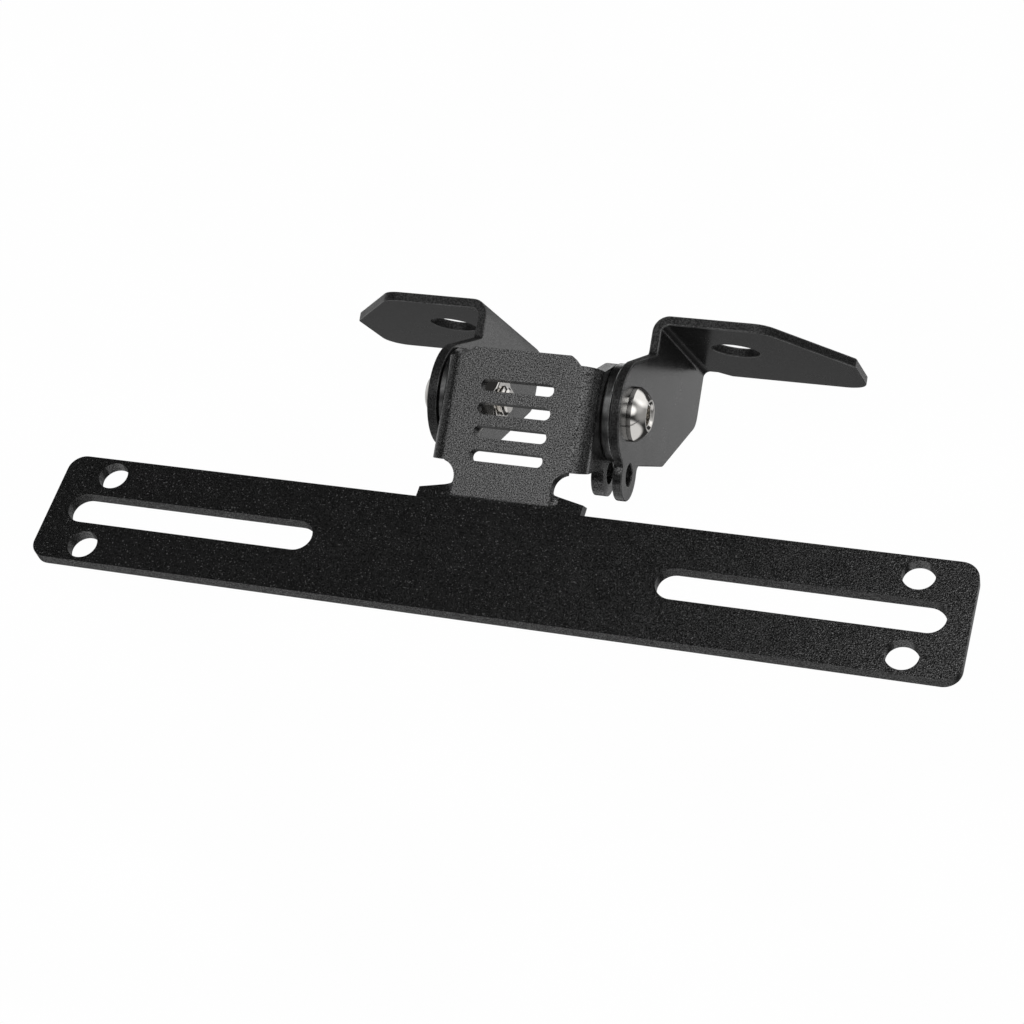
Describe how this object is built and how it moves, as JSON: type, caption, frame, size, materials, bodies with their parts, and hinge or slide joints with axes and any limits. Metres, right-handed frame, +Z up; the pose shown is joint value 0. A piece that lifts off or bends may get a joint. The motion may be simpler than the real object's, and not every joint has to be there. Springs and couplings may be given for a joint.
{
  "type": "motorcycle tail tidy",
  "caption": "Motorbike number-plate holder: folded sheet bar and panel that tilts between two folded brackets with flanges for the tail.",
  "frame": {"origin": "midway between the two flange holes, on the top faces of the flanges", "axes": "+X along the bar to the right, -Y towards the number plate, +Z up"},
  "size_m": [0.186, 0.079, 0.0703],
  "materials": {
    "carrier_coat": "fine-textured black powder coat",
    "bracket_coat": "satin black powder coat",
    "bright_steel": "polished stainless steel",
    "dark_steel": "satin blackened steel"
  },
  "bodies": {
    "brackets": {"bracket_right": "bracket_coat", "pivot_bolt_right": "bright_steel", "spacer_disc_right": "dark_steel", "pivot_nut_right": "bright_steel", "bracket_left": "bracket_coat", "pivot_bolt_left": "bright_steel", "spacer_disc_left": "dark_steel", "pivot_nut_left": "bright_steel"},
    "carrier": {"plate_carrier": "carrier_coat"}
  },
  "joints": [
    {"name": "plate_tilt", "type": "hinge", "parent": "brackets", "child": "carrier", "pos_m": [0, -0.0283, -0.0231], "axis": [1, 0, 0], "range_deg": [-60, 90]}
  ]
}
